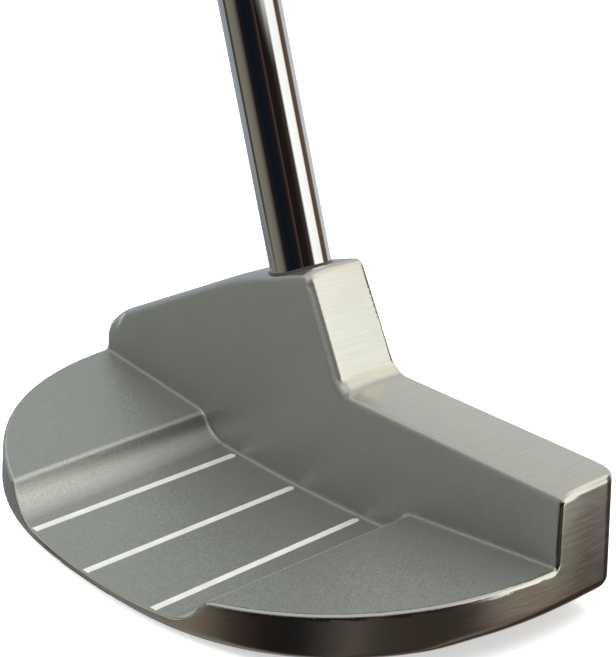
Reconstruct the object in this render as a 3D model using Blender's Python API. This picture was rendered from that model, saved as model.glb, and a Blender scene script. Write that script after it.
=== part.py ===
"""Mid-mallet putter, right-handed: a cast head, a stepped steel shaft and a moulded pistol grip.

The club is at address. +X points to the toe, +Y out of the striking face and +Z up. The origin is
on the sole's flat, straight below the plane of the wall that closes the recess. Lengths are metres.
"""

import math

import bmesh
import bpy
from mathutils import Matrix, Vector

MM = 0.001

# Head, seen from above at the sole: a straight front and a round back. The rim leans in as it rises.
HEAD_HALF_LENGTH = 50.25 * MM
WIDEST_Y = 6.2 * MM
BACK_DEPTH = 45.8 * MM
RIM_DRAFT = math.radians(3.0)
BACK_POWER = 2.4
FRONT_CORNER_RADIUS = 3.0 * MM
BACK_SEGMENTS = 56

# Striking face: a plane tilted back by the loft, at FACE_Y where it reaches LOFT_HEIGHT.
FACE_Y = 12.1 * MM
LOFT_HEIGHT = 20.6 * MM
LOFT = math.radians(2.0)

# Sole: flat in the middle, rising to the heel, to the toe and to the back.
SOLE_FLAT_HALF_LENGTH = 12.0 * MM
SOLE_FLAT_BACK = 12.0 * MM
SOLE_HEEL_RISE = 3.1 * MM
SOLE_TOE_RISE = 3.3 * MM
SOLE_END_RUN = 33.0 * MM
SOLE_BACK_RISE = 1.0 * MM
SOLE_BACK_RUN = 28.0 * MM
SOLE_EDGE_RADIUS = 1.6 * MM
SOLE_EDGE_TUCK = 0.5 * MM
SOLE_PITCH = 4.0 * MM

# Head, seen from the front: the top line from heel to toe, as (x, z, corner radius).
TOP_LINE = [
    (-50.6 * MM, 15.9 * MM, 2.7 * MM),
    (-16.2 * MM, 32.5 * MM, 40.0 * MM),
    (-0.1 * MM, 37.5 * MM, 1.2 * MM),
    (8.1 * MM, 21.5 * MM, 2.6 * MM),
    (50.6 * MM, 20.7 * MM, 1.5 * MM),
]

# Flange behind the wall: two raised flanks with a channel between them.
FLANK_INNER_X = 23.0 * MM
FLANK_HEIGHT = 7.8 * MM
FLANK_OUTWARD_SLOPE = 0.103
BACKWARD_SLOPE = 0.031
FLANK_EDGE_RADIUS = 0.5 * MM
CHANNEL_FOOT_X = 20.3 * MM
CHANNEL_HEIGHT = 3.35 * MM
CHANNEL_DISH = 1.5
CHANNEL_HEEL_FILLET = 3.0 * MM
CHANNEL_TOE_FILLET = 1.8 * MM
HEEL_FILLET_GROWTH = 0.06
CHANNEL_FLOOR_X = [-15.0 * MM, -10.0 * MM, -5.0 * MM, 0.0, 5.0 * MM, 10.0 * MM, 15.0 * MM]
WALL_FOOT_RADIUS = 0.6 * MM

# Coat on the recess, and the enamel of the sight lines.
COAT_THICKNESS = 0.24 * MM
COAT_EDGE_INSET = 0.9 * MM
LINE_X = {"heel": -13.95 * MM, "centre": -0.1 * MM, "toe": 13.95 * MM}
LINE_WIDTH = 1.5 * MM
LINE_DEPTH = 0.4 * MM
LINE_START_Y = -0.75 * MM
LINE_END_INSET = 1.1 * MM
LINE_END_SEGMENTS = 8

# Shaft: its axis passes through the mouth of the bore on the hump.
LIE = math.radians(70.4)
MOUTH = Vector((-6.85 * MM, 5.5 * MM, 34.7 * MM))
CLUB_LENGTH = 864.0 * MM
BORE_DEPTH = 26.0 * MM
TIP_RADIUS = 4.7 * MM
BUTT_RADIUS = 7.37 * MM
SHAFT_WALL = 0.6 * MM
TIP_PARALLEL = 280.0 * MM
STEP_COUNT = 12
STEP_PITCH = 25.4 * MM
STEP_LENGTH = 2.0 * MM
BOND_THICKNESS = 0.15 * MM

# Grip: stations along it, as (distance from its mouth, flat, back, half width).
GRIP_LENGTH = 264.0 * MM
GRIP_STATIONS = [
    (0.0 * MM, 9.4 * MM, 9.6 * MM, 9.6 * MM),
    (4.0 * MM, 9.6 * MM, 10.4 * MM, 10.2 * MM),
    (60.0 * MM, 9.7 * MM, 10.9 * MM, 10.8 * MM),
    (120.0 * MM, 9.9 * MM, 11.4 * MM, 11.6 * MM),
    (165.0 * MM, 10.1 * MM, 11.8 * MM, 12.2 * MM),
    (195.0 * MM, 10.3 * MM, 13.2 * MM, 12.7 * MM),
    (220.0 * MM, 10.5 * MM, 15.6 * MM, 13.0 * MM),
    (240.0 * MM, 10.7 * MM, 17.3 * MM, 13.2 * MM),
    (256.0 * MM, 10.7 * MM, 17.2 * MM, 13.2 * MM),
    (264.0 * MM, 10.4 * MM, 16.2 * MM, 12.8 * MM),
]
TAPE_THICKNESS = 0.15 * MM
CAP_THICKNESS = 2.7 * MM
CAP_INSET = 0.5 * MM
VENT_RADIUS = 1.4 * MM

THIN_GAP = 0.06 * MM
PIECE_GAP = 0.3 * MM
OVERSHOOT = 10.0 * MM
SMALLEST_RADIUS = 0.4 * MM
ROUND_SEGMENTS = 32
CORNER_SEGMENTS = 4

SHAFT_UP = Vector((-math.cos(LIE), 0.0, math.sin(LIE)))
CAP_END = CLUB_LENGTH - MOUTH.z / math.sin(LIE)
GRIP_END = CAP_END - CAP_THICKNESS - PIECE_GAP
GRIP_START = GRIP_END - GRIP_LENGTH


def clear_scene():
    for old in list(bpy.data.objects):
        bpy.data.objects.remove(old)


def finish_material(name, color, metallic, roughness):
    material = bpy.data.materials.new(name)
    material.use_nodes = True
    shader = material.node_tree.nodes["Principled BSDF"]
    shader.inputs["Base Color"].default_value = (*color, 1.0)
    shader.inputs["Metallic"].default_value = metallic
    shader.inputs["Roughness"].default_value = roughness
    material.diffuse_color = (*color, 1.0)
    return material


def mesh_object(name, bm):
    """Turns a bmesh into a linked object, with its faces pointing out."""
    bmesh.ops.recalc_face_normals(bm, faces=bm.faces)
    mesh = bpy.data.meshes.new(name)
    bm.to_mesh(mesh)
    bm.free()
    made = bpy.data.objects.new(name, mesh)
    bpy.context.collection.objects.link(made)
    return made


def loft(name, rings, closed=False):
    """Skins rings of equal point count. The ends are capped, or joined to each other when closed."""
    bm = bmesh.new()
    loops = [[bm.verts.new(point) for point in ring] for ring in rings]
    count = len(loops[0])
    pairs = list(zip(loops, loops[1:]))
    if closed:
        pairs.append((loops[-1], loops[0]))
    for lower, upper in pairs:
        for i in range(count):
            j = (i + 1) % count
            bm.faces.new((lower[i], lower[j], upper[j], upper[i]))
    if not closed:
        bm.faces.new(list(reversed(loops[0])))
        bm.faces.new(loops[-1])
    return mesh_object(name, bm)


def as_cutter(cutter):
    cutter.hide_render = True
    cutter.display_type = "WIRE"
    return cutter


def combine(target, tool, operation):
    modifier = target.modifiers.new(tool.name, "BOOLEAN")
    modifier.operation = operation
    modifier.object = as_cutter(tool)


def smooth(made, angle=math.radians(30.0)):
    made.data.shade_smooth()
    made.data.set_sharp_from_angle(angle=angle)


def rounded(corners):
    """Replaces each (x, z, radius) corner of an open line by an arc, and keeps the plain points."""
    points = [Vector(corners[0][:2])]
    for before, corner, after in zip(corners, corners[1:], corners[2:]):
        at = Vector(corner[:2])
        radius = corner[2]
        if radius == 0.0:
            points.append(at)
            continue
        back = (Vector(before[:2]) - at).normalized()
        ahead = (Vector(after[:2]) - at).normalized()
        half_angle = back.angle(ahead) / 2.0
        centre = at + (back + ahead).normalized() * radius / math.sin(half_angle)
        first = at + back * radius / math.tan(half_angle) - centre
        sweep = first.angle_signed(at + ahead * radius / math.tan(half_angle) - centre)
        for k in range(CORNER_SEGMENTS + 1):
            points.append(centre + Matrix.Rotation(-sweep * k / CORNER_SEGMENTS, 2) @ first)
    points.append(Vector(corners[-1][:2]))
    return points


# Head


def sole_z(x, y):
    """Height of the sole's surface."""
    along = max(abs(x) - SOLE_FLAT_HALF_LENGTH, 0.0) / SOLE_END_RUN
    behind = max(-y - SOLE_FLAT_BACK, 0.0) / SOLE_BACK_RUN
    end_rise = SOLE_HEEL_RISE if x < 0.0 else SOLE_TOE_RISE
    return end_rise * along**2 + SOLE_BACK_RISE * behind**2


def back_y(x):
    """How far back the outline reaches at x."""
    part = abs(x) / HEAD_HALF_LENGTH
    return WIDEST_Y - BACK_DEPTH * (1.0 - part**BACK_POWER) ** (1.0 / BACK_POWER)


def plan_outline(inset, height):
    """The head's outline at a height: round back from toe to heel, then the front from heel to toe."""
    outline = []
    back_inset = inset + height * math.tan(RIM_DRAFT)
    half = HEAD_HALF_LENGTH - back_inset
    for k in range(BACK_SEGMENTS + 1):
        turn = math.pi * k / BACK_SEGMENTS
        across = math.copysign(abs(math.cos(turn)) ** (2.0 / BACK_POWER), math.cos(turn))
        depth = (BACK_DEPTH - back_inset) * math.sin(turn) ** (2.0 / BACK_POWER)
        outline.append((half * across, WIDEST_Y - depth))
    front = FACE_Y - inset
    radius = max(FRONT_CORNER_RADIUS - inset, SMALLEST_RADIUS)
    corners = [
        (-half, WIDEST_Y, 0.0),
        (-half, front, radius),
        (half, front, radius),
        (half, WIDEST_Y, 0.0),
    ]
    outline.extend((point.x, point.y) for point in rounded(corners)[1:-1])
    return outline


def plan_ring(inset, z=None, above_sole=0.0):
    """An outline ring at height z, or above_sole over the sole, with the face's loft in its front."""
    ring = []
    for x, y in plan_outline(inset, above_sole if z is None else z):
        height = sole_z(x, y) + above_sole if z is None else z
        lean = math.tan(LOFT) * (height - LOFT_HEIGHT) if y > WIDEST_Y else 0.0
        ring.append((x, y - lean, height))
    return ring


def head_blank():
    """The head's outline raised to a block, with the round edge around the sole."""
    radius = SOLE_EDGE_RADIUS
    under = 2.0 * radius
    rings = [plan_ring(under, z=-OVERSHOOT), plan_ring(under, above_sole=-SOLE_EDGE_TUCK)]
    for degrees in (60.0, 30.0, 0.0):
        turn = math.radians(degrees)
        inset = radius * (1.0 - math.cos(turn))
        rings.append(plan_ring(inset, above_sole=radius * (1.0 - math.sin(turn))))
    rings.append(plan_ring(0.0, z=TOP_LINE[2][1] + OVERSHOOT))
    return loft("head_casting", rings)


def front_view_prism(name, inset=0.0):
    """Everything below the head's top line, lowered by inset."""
    corners = [(TOP_LINE[0][0] + inset, -2.0 * OVERSHOOT, 0.0)]
    for x, z, radius in TOP_LINE:
        side = math.copysign(inset, x) if abs(x) > HEAD_HALF_LENGTH else 0.0
        corners.append((x - side, z - inset, radius))
    corners.append((TOP_LINE[-1][0] - inset, -2.0 * OVERSHOOT, 0.0))
    section = rounded(corners)
    reach = BACK_DEPTH + OVERSHOOT
    return loft(name, [[(p.x, y, p.y) for p in section] for y in (-reach, FACE_Y + OVERSHOOT)])


def sole_cutter():
    """Everything below the sole's surface, as sections from heel to toe."""
    low = -2.0 * OVERSHOOT
    ends = math.ceil(HEAD_HALF_LENGTH / SOLE_PITCH) + 1
    back = math.ceil(BACK_DEPTH / SOLE_PITCH) + 1
    flat = round(SOLE_FLAT_BACK / SOLE_PITCH)
    y_stations = [k * SOLE_PITCH for k in range(-back, 1 - flat)] + [2.0 * OVERSHOOT]
    sections = []
    for k in range(-ends, ends + 1):
        x = k * SOLE_PITCH
        top = [(x, y, sole_z(x, y)) for y in y_stations]
        sections.append(top + [(x, y_stations[-1], low), (x, y_stations[0], low)])
    return loft("below_sole", sections)


def flank_z(x, y):
    return FLANK_HEIGHT + FLANK_OUTWARD_SLOPE * (abs(x) - FLANK_INNER_X) + BACKWARD_SLOPE * y


def channel_z(x, y):
    return CHANNEL_HEIGHT + CHANNEL_DISH * x**2 + BACKWARD_SLOPE * y


def flange_section(y, lift):
    """The flange's top from heel to toe at y, raised by lift, and closed high above it."""
    reach = HEAD_HALF_LENGTH + OVERSHOOT
    high = TOP_LINE[2][1] + OVERSHOOT
    outer, inner = flank_z(reach, y), flank_z(FLANK_INNER_X, y)
    foot = channel_z(CHANNEL_FOOT_X, y)
    heel_fillet = CHANNEL_HEEL_FILLET + HEEL_FILLET_GROWTH * max(-y, 0.0)
    corners = [
        (-reach, outer, 0.0),
        (-FLANK_INNER_X, inner, FLANK_EDGE_RADIUS),
        (-CHANNEL_FOOT_X, foot, heel_fillet),
    ]
    corners.extend((x, channel_z(x, y), 0.0) for x in CHANNEL_FLOOR_X)
    corners += [
        (CHANNEL_FOOT_X, foot, CHANNEL_TOE_FILLET),
        (FLANK_INNER_X, inner, FLANK_EDGE_RADIUS),
        (reach, outer, 0.0),
    ]
    top = [(p.x, y, p.y + lift) for p in rounded(corners)]
    return top + [(reach, y, high), (-reach, y, high)]


def recess_solid(name, offset=0.0):
    """The open space over the flange and behind the wall, kept clear of both by offset."""
    rings = []
    for degrees in (0.0, 30.0, 60.0, 90.0):
        turn = math.radians(degrees)
        y = -offset - WALL_FOOT_RADIUS * (1.0 - math.cos(turn))
        rings.append(flange_section(y, offset + WALL_FOOT_RADIUS * (1.0 - math.sin(turn))))
    rings.append(flange_section(-BACK_DEPTH - OVERSHOOT, offset))
    return loft(name, rings)


def along_shaft(made):
    """Stands a piece made along +Z, with its flat front to +X, on the shaft's axis."""
    made.location = MOUTH
    made.rotation_euler = (0.0, LIE - math.pi / 2.0, 0.0)
    return made


def circle(radius, z, segments=ROUND_SEGMENTS):
    turns = [2.0 * math.pi * k / segments for k in range(segments)]
    return [(radius * math.cos(turn), radius * math.sin(turn), z) for turn in turns]


def bore_cutter():
    radius = TIP_RADIUS + BOND_THICKNESS + 2.0 * THIN_GAP
    return along_shaft(loft("shaft_bore", [circle(radius, -BORE_DEPTH), circle(radius, OVERSHOOT)]))


def line_plan(x, spare):
    """A sight line's outline from above, with round ends, widened by spare."""
    radius = LINE_WIDTH / 2.0 + spare
    front = LINE_START_Y - LINE_WIDTH / 2.0
    back = back_y(x) + LINE_END_INSET + LINE_WIDTH / 2.0
    outline = []
    for centre_y, start in ((front, 0.0), (back, math.pi)):
        for k in range(LINE_END_SEGMENTS + 1):
            turn = start + math.pi * k / LINE_END_SEGMENTS
            outline.append((x + radius * math.cos(turn), centre_y + radius * math.sin(turn)))
    return outline


def line_solid(name, x, spare, top):
    """A sight line's solid from the groove's floor up to top over the channel's floor."""
    bottom = -LINE_DEPTH - spare
    outline = line_plan(x, spare)
    rings = [[(px, py, channel_z(px, py) + level) for px, py in outline] for level in (bottom, top)]
    return loft(name, rings)


def make_head():
    steel = finish_material("brushed_stainless", (0.56, 0.55, 0.53), 1.0, 0.33)
    coat_paint = finish_material("recess_coat", (0.19, 0.20, 0.18), 0.55, 0.5)
    enamel = finish_material("white_enamel", (0.76, 0.77, 0.71), 0.0, 0.35)

    head = head_blank()
    combine(head, front_view_prism("top_line"), "INTERSECT")
    combine(head, sole_cutter(), "DIFFERENCE")
    combine(head, recess_solid("recess"), "DIFFERENCE")
    combine(head, bore_cutter(), "DIFFERENCE")
    head.data.materials.append(steel)

    coat = recess_solid("recess_coat", THIN_GAP)
    combine(coat, recess_solid("coat_surface", THIN_GAP + COAT_THICKNESS), "DIFFERENCE")
    high = TOP_LINE[2][1] + OVERSHOOT
    edge = loft("coat_edge", [plan_ring(COAT_EDGE_INSET, z=z) for z in (-OVERSHOOT, high)])
    combine(coat, edge, "INTERSECT")
    combine(coat, front_view_prism("coat_top_edge", COAT_EDGE_INSET / 2.0), "INTERSECT")
    coat.data.materials.append(coat_paint)

    for side, x in LINE_X.items():
        line = line_solid("sight_line_" + side, x, 0.0, THIN_GAP + COAT_THICKNESS)
        line.data.materials.append(enamel)
        groove = line_solid("groove_" + side, x, THIN_GAP, OVERSHOOT)
        combine(head, groove, "DIFFERENCE")
        combine(coat, groove, "DIFFERENCE")


# Shaft and grip


def tube_rings(profile, segments=ROUND_SEGMENTS):
    """Rings of a turned tube from its closed (radius, z) profile."""
    return [circle(radius, z, segments) for radius, z in profile]


def shaft_profile():
    """The stepped outside from tip to butt, then the smooth inside from butt to tip."""
    tip = -BORE_DEPTH + PIECE_GAP
    butt = GRIP_END - PIECE_GAP
    first_step = tip + TIP_PARALLEL
    growth = (BUTT_RADIUS - TIP_RADIUS) / STEP_COUNT
    outside = [(TIP_RADIUS, tip)]
    for k in range(STEP_COUNT):
        start = first_step + k * STEP_PITCH
        outside.append((TIP_RADIUS + k * growth, start))
        outside.append((TIP_RADIUS + (k + 1) * growth, start + STEP_LENGTH))
    outside.append((BUTT_RADIUS, butt))
    last_step = first_step + STEP_COUNT * STEP_PITCH
    inside = [
        (BUTT_RADIUS - SHAFT_WALL, butt),
        (BUTT_RADIUS - SHAFT_WALL, last_step),
        (TIP_RADIUS - SHAFT_WALL, first_step),
        (TIP_RADIUS - SHAFT_WALL, tip),
    ]
    return outside + inside


def sleeve_profile(inner, outer, start, end):
    return [(outer, start), (outer, end), (inner, end), (inner, start)]


def grip_section(flat, back, half_width, z):
    """One ring of the grip: round at the back and the sides, flat in front."""
    ring = []
    for k in range(ROUND_SEGMENTS):
        turn = 2.0 * math.pi * k / ROUND_SEGMENTS
        depth = back if math.cos(turn) < 0.0 else half_width
        ring.append((min(depth * math.cos(turn), flat), half_width * math.sin(turn), z))
    return ring


def make_shaft():
    chrome = finish_material("chrome_plate", (0.62, 0.62, 0.62), 1.0, 0.06)
    epoxy = finish_material("cured_epoxy", (0.05, 0.045, 0.04), 0.0, 0.4)
    shaft = along_shaft(loft("shaft", tube_rings(shaft_profile()), closed=True))
    shaft.data.materials.append(chrome)
    inner = TIP_RADIUS + THIN_GAP
    profile = sleeve_profile(inner, inner + BOND_THICKNESS, -BORE_DEPTH + PIECE_GAP, -PIECE_GAP)
    bond = along_shaft(loft("shaft_bond", tube_rings(profile), closed=True))
    bond.data.materials.append(epoxy)
    return [shaft, bond]


def make_grip():
    rubber = finish_material("grip_rubber", (0.018, 0.018, 0.019), 0.0, 0.75)
    paper = finish_material("grip_tape", (0.55, 0.50, 0.40), 0.0, 0.8)
    hard_rubber = finish_material("cap_rubber", (0.012, 0.012, 0.013), 0.0, 0.55)

    tape_inner = BUTT_RADIUS + THIN_GAP
    tape_outer = tape_inner + TAPE_THICKNESS
    ends = (GRIP_START + PIECE_GAP, GRIP_END - PIECE_GAP)
    profile = sleeve_profile(tape_inner, tape_outer, *ends)
    tape = along_shaft(loft("grip_tape", tube_rings(profile), closed=True))
    tape.data.materials.append(paper)

    bore = tape_outer + THIN_GAP
    rings = [grip_section(flat, back, wide, GRIP_START + at) for at, flat, back, wide in GRIP_STATIONS]
    rings.extend([circle(bore, GRIP_END), circle(bore, GRIP_START)])
    grip = along_shaft(loft("grip", rings, closed=True))
    grip.data.materials.append(rubber)

    flat, back, wide = (size - CAP_INSET for size in GRIP_STATIONS[-1][1:])
    bottom = CAP_END - CAP_THICKNESS
    edge = CAP_END - CAP_THICKNESS / 3.0
    rings = [
        grip_section(flat, back, wide, bottom),
        grip_section(flat, back, wide, edge),
        grip_section(flat - CAP_INSET, back - CAP_INSET, wide - CAP_INSET, CAP_END),
        circle(VENT_RADIUS, CAP_END),
        circle(VENT_RADIUS, bottom),
    ]
    cap = along_shaft(loft("grip_cap", rings, closed=True))
    cap.data.materials.append(hard_rubber)
    return [tape, grip, cap]


def main():
    clear_scene()
    make_head()
    for made in make_shaft() + make_grip():
        smooth(made)


main()
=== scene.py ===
"""Looks of the mid-mallet putter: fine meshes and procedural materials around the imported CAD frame.

The club is at address. +X points to the toe, +Y out of the striking face and +Z up, in metres. The
fine shapes repeat the CAD's driving dimensions. The head is one smooth implicit field, contoured
into a fine mesh, so that every cast edge and fillet is a real radius.
"""

import math
from itertools import product

import bpy
import numpy as np
from mathutils import Matrix, Vector


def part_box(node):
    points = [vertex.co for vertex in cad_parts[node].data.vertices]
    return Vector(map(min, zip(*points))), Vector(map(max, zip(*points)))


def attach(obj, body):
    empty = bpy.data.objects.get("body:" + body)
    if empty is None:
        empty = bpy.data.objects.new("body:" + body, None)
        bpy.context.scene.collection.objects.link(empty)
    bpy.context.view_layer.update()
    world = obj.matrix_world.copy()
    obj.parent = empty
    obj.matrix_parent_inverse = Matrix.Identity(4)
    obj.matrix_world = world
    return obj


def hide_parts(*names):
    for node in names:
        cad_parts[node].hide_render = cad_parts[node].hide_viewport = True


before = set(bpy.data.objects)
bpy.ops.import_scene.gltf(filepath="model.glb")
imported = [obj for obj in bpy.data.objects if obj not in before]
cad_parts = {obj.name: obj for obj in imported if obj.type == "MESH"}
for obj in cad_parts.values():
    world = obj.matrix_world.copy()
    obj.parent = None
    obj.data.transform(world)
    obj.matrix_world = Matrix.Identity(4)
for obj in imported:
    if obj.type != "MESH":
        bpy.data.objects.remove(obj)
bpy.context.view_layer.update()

MM = 0.001
BODY = "root"

# Head, seen from above at the sole: a straight front and a round back. The rim leans in as it rises.
HEAD_HALF_LENGTH = 50.25 * MM
WIDEST_Y = 6.2 * MM
BACK_DEPTH = 45.75 * MM
RIM_SLOPE = math.tan(math.radians(3.0))
BACK_POWER = 2.4
FRONT_CORNER_RADIUS = 3.0 * MM

# Striking face: a plane tilted back by the loft, at FACE_Y where it reaches LOFT_HEIGHT.
FACE_Y = 12.1 * MM
LOFT_HEIGHT = 20.6 * MM
LOFT = math.radians(2.0)

# Sole: flat in the middle, rising to the heel, to the toe and to the back.
SOLE_FLAT_HALF_LENGTH = 12.0 * MM
SOLE_FLAT_BACK = 12.0 * MM
SOLE_HEEL_RISE = 2.4 * MM
SOLE_TOE_RISE = 3.0 * MM
SOLE_END_RUN = 33.0 * MM
SOLE_BACK_RISE = 0.8 * MM
SOLE_BACK_RUN = 28.0 * MM
SOLE_EDGE_RADIUS = 1.3 * MM
TOE_SOLE_EDGE_RADIUS = 2.1 * MM

# Top line from heel to toe at the wall, as (x, z). Each stretch of it but the facet, which is flat,
# is crowned: it climbs by CROWN_HEIGHT towards the face, most of it within CROWN_RUN of the wall.
TOP_POINTS = [
    (-50.6 * MM, 15.3 * MM),
    (-16.2 * MM, 31.9 * MM),
    (0.2 * MM, 36.9 * MM),
    (8.4 * MM, 20.9 * MM),
    (50.6 * MM, 20.0 * MM),
]
CROWNED = [True, True, False, True]
CROWN_HEIGHT = 0.9 * MM
CROWN_RUN = 1.6 * MM
HEEL_BEND_EASE = 0.8 * MM
PEAK_RADIUS = 1.3 * MM
TOE_FILLET = 1.9 * MM
TOE_STARTS_X = 3.0 * MM
TOP_EDGE_RADIUS = 0.6 * MM
HEEL_END_RADIUS = 2.7 * MM
TOE_END_RADIUS = 0.8 * MM
FACET_EDGE_RADIUS = 1.4 * MM
FACET_X = (0.6 * MM, 8.8 * MM)
FACET_EASE = 1.2 * MM
END_EDGE_X = 47.0 * MM
END_EDGE_RUN = 3.0 * MM

# Flange behind the wall: two raised flanks with a channel between them. The channel's floor is a
# shallow dish, which rises from the middle by CHANNEL_DISH times x squared, all in metres. The fillet
# at the floor's heel side grows towards the back.
FLANK_INNER_X = 23.0 * MM
FLANK_HEIGHT = 7.8 * MM
FLANK_OUTWARD_SLOPE = 0.103
BACKWARD_SLOPE = 0.031
FLANK_EDGE_RADIUS = 0.5 * MM
CHANNEL_FOOT_X = 20.3 * MM
CHANNEL_HEIGHT = 3.35 * MM
CHANNEL_DISH = 1.5
CHANNEL_HEEL_FILLET = 2.4 * MM
CHANNEL_TOE_FILLET = 1.8 * MM
HEEL_FILLET_GROWTH = 0.03
WALL_FOOT_RADIUS = 0.6 * MM
RIM_EDGE_RADIUS = 0.5 * MM

# Coat on the recess: how far inside each edge it stops, how near to the recess it has to be, and half
# its thickness. From COAT_CORNER_X outwards the rim's inset takes over from the channel's.
COAT_RIM_INSET = 0.55 * MM
COAT_CHANNEL_INSET = 0.3 * MM
COAT_CORNER_X = 21.7 * MM
COAT_TOP_INSET = 0.22 * MM
COAT_FACET_INSET = 0.04 * MM
COAT_REACH = 1.0 * MM
COAT_HALF_THICKNESS = 0.05 * MM

# Metal flakes in the coat: their size, and how far askew they lie.
FLAKE_SIZE = 0.10 * MM
FLAKE_TILT = 0.26

# Enamel of the sight lines. A line's edges lie lower than its crown by the share LINE_SIDE_DROP, and
# its round front end starts with the share LINE_TIP_WIDTH of its width.
LINE_X = {"heel": -13.95 * MM, "centre": -0.1 * MM, "toe": 13.95 * MM}
LINE_WIDTH = 1.5 * MM
LINE_START_Y = -0.75 * MM
LINE_END_INSET = 0.3 * MM
LINE_CROWN = 0.12 * MM
LINE_SIDE_DROP = 0.9
LINE_DEPTH = 0.2 * MM
LINE_TIP_WIDTH = 0.12
LINE_COLUMNS = 9
LINE_PITCH = 0.25 * MM

# Shaft: its axis passes through the mouth of the bore on the hump.
LIE = math.radians(70.4)
MOUTH = Vector((-6.85 * MM, 5.5 * MM, 34.7 * MM))
CLUB_LENGTH = 864.0 * MM
BORE_DEPTH = 26.0 * MM
TIP_RADIUS = 4.7 * MM
BUTT_RADIUS = 7.37 * MM
SHAFT_WALL = 0.6 * MM
TIP_PARALLEL = 280.0 * MM
STEP_COUNT = 12
STEP_PITCH = 25.4 * MM
STEP_LENGTH = 2.0 * MM

# Bead of epoxy around the shaft's foot: its profile, as shares of its width outwards and of its rise
# upwards, and how far down and up the shaft the hump's surface is looked for.
BOND_WIDTH = 0.42 * MM
BOND_RISE = 0.3 * MM
BOND_PROFILE = [
    (0.0, 1.0),
    (0.25, 0.75),
    (0.55, 0.35),
    (0.85, 0.05),
    (1.0, -0.35),
    (0.6, -1.0),
    (-0.5, -1.0),
    (-0.5, 0.8),
]
BOND_SEARCH = (-6.0 * MM, 8.0 * MM)

# Grip: stations along it, as (distance from its mouth, flat, back, half width). The ribs fade out at
# both ends, and towards the flat where the cosine of the turn around the grip passes PANEL_EDGE.
GRIP_LENGTH = 264.0 * MM
GRIP_STATIONS = [
    (0.0 * MM, 9.4 * MM, 9.6 * MM, 9.6 * MM),
    (4.0 * MM, 9.6 * MM, 10.4 * MM, 10.2 * MM),
    (60.0 * MM, 9.7 * MM, 10.9 * MM, 10.8 * MM),
    (120.0 * MM, 9.9 * MM, 11.4 * MM, 11.6 * MM),
    (165.0 * MM, 10.1 * MM, 11.8 * MM, 12.2 * MM),
    (195.0 * MM, 10.3 * MM, 13.2 * MM, 12.7 * MM),
    (220.0 * MM, 10.5 * MM, 15.6 * MM, 13.0 * MM),
    (240.0 * MM, 10.7 * MM, 17.3 * MM, 13.2 * MM),
    (256.0 * MM, 10.7 * MM, 17.2 * MM, 13.2 * MM),
    (264.0 * MM, 10.4 * MM, 16.2 * MM, 12.8 * MM),
]
GRIP_CLEARANCE = 0.05 * MM
GRIP_BORE = 7.64 * MM
RIB_PITCH = 3.0 * MM
RIB_DEPTH = 0.35 * MM
RIB_MARGIN = 9.0 * MM
RIB_FADE = 2.0 * MM
RIB_ROWS = 6
PANEL_EDGE = 0.42
PANEL_EASE = 0.12

# End cap: a shallow dome inside a rounded edge, with a flared vent hole in its middle.
CAP_THICKNESS = 2.7 * MM
CAP_INSET = 0.5 * MM
CAP_EDGE = 0.9 * MM
CAP_EDGE_TURNS = (0.0, 22.5, 45.0, 67.5, 90.0)
CAP_DOME = 0.4 * CAP_EDGE
CAP_DOME_SHARES = (0.66, 0.33)
VENT_RADIUS = 1.4 * MM
VENT_FLARE = 1.25
VENT_LIP = (0.1 * MM, 0.3 * MM)
PIECE_GAP = 0.3 * MM

CAP_END = CLUB_LENGTH - MOUTH.z / math.sin(LIE)
GRIP_END = CAP_END - CAP_THICKNESS - PIECE_GAP
GRIP_START = GRIP_END - GRIP_LENGTH
ALONG_SHAFT = Matrix.Translation(MOUTH) @ Matrix.Rotation(LIE - math.pi / 2.0, 4, "Y")

# How fine the meshes are.
HEAD_GRID = 0.45 * MM
SPARE_CELLS = 2.0
GRADIENT_STEP = 0.02 * MM
DRAWING_PASSES = 4
HALVINGS = 24
SHAFT_SEGMENTS = 96
BOND_SEGMENTS = 96
GRIP_SEGMENTS = 144
STEP_RINGS = 7
SHARP_ANGLE = math.radians(40.0)

# Limits that keep divisions away from zero.
LEAST_SIZE = 0.01
LEAST_PULL = 0.3 / HEAD_HALF_LENGTH
LEAST_STEEPNESS = 0.25
LEAST_LENGTH = 1e-12

# Linear colours of the materials: the two tones that each one's pattern runs between, what is laid
# over them, and how much lighter worn rubber is.
COAT_TONES = ((0.27, 0.283, 0.262, 1.0), (0.37, 0.385, 0.357, 1.0))
COAT_CLOUD_COLOR = (0.20, 0.20, 0.20, 1.0)
# Painted highlight: the bright flake colour laid over the coat where it faces the heel or the toe.
PAINTED_HIGHLIGHT_COLOR = (0.76, 0.76, 0.70, 1.0)
STEEL_TONES = ((0.645, 0.635, 0.585, 1.0), (0.73, 0.72, 0.665, 1.0))
STEEL_SMUDGE_COLOR = (0.58, 0.565, 0.515, 1.0)
CHROME_TONES = ((0.74, 0.74, 0.74, 1.0), (0.80, 0.80, 0.80, 1.0))
ENAMEL_TONES = ((0.47, 0.48, 0.43, 1.0), (0.54, 0.55, 0.50, 1.0))
EPOXY_TONES = ((0.010, 0.010, 0.010, 1.0), (0.033, 0.030, 0.027, 1.0))
TAPE_TONES = ((0.50, 0.44, 0.33, 1.0), (0.62, 0.56, 0.44, 1.0))
WORN_RUBBER_GAIN = 1.6
FLOOR_TONES = ((0.90, 0.90, 0.90, 1.0), (0.92, 0.92, 0.92, 1.0))

# Belt lines of the steel, on its top and on its rim: their width and how each axis is squeezed.
BRUSH_TOP = (0.16 * MM, (1.0, 0.018, 1.0))
BRUSH_RIM = (0.20 * MM, (0.05, 0.05, 1.0))
BRUSH_DEPTH = 0.01 * MM

# Camera: where it stands and how it is turned, in degrees.
CAMERA_PLACE = Vector((0.15383, -0.14438, 0.10660))
CAMERA_TURN = 46.666
CAMERA_DIP = 20.214
CAMERA_ROLL = 2.387
CAMERA_LENS = 84.085
CAMERA_SENSOR = 36.0
CAMERA_NEAR = 0.001

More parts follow.
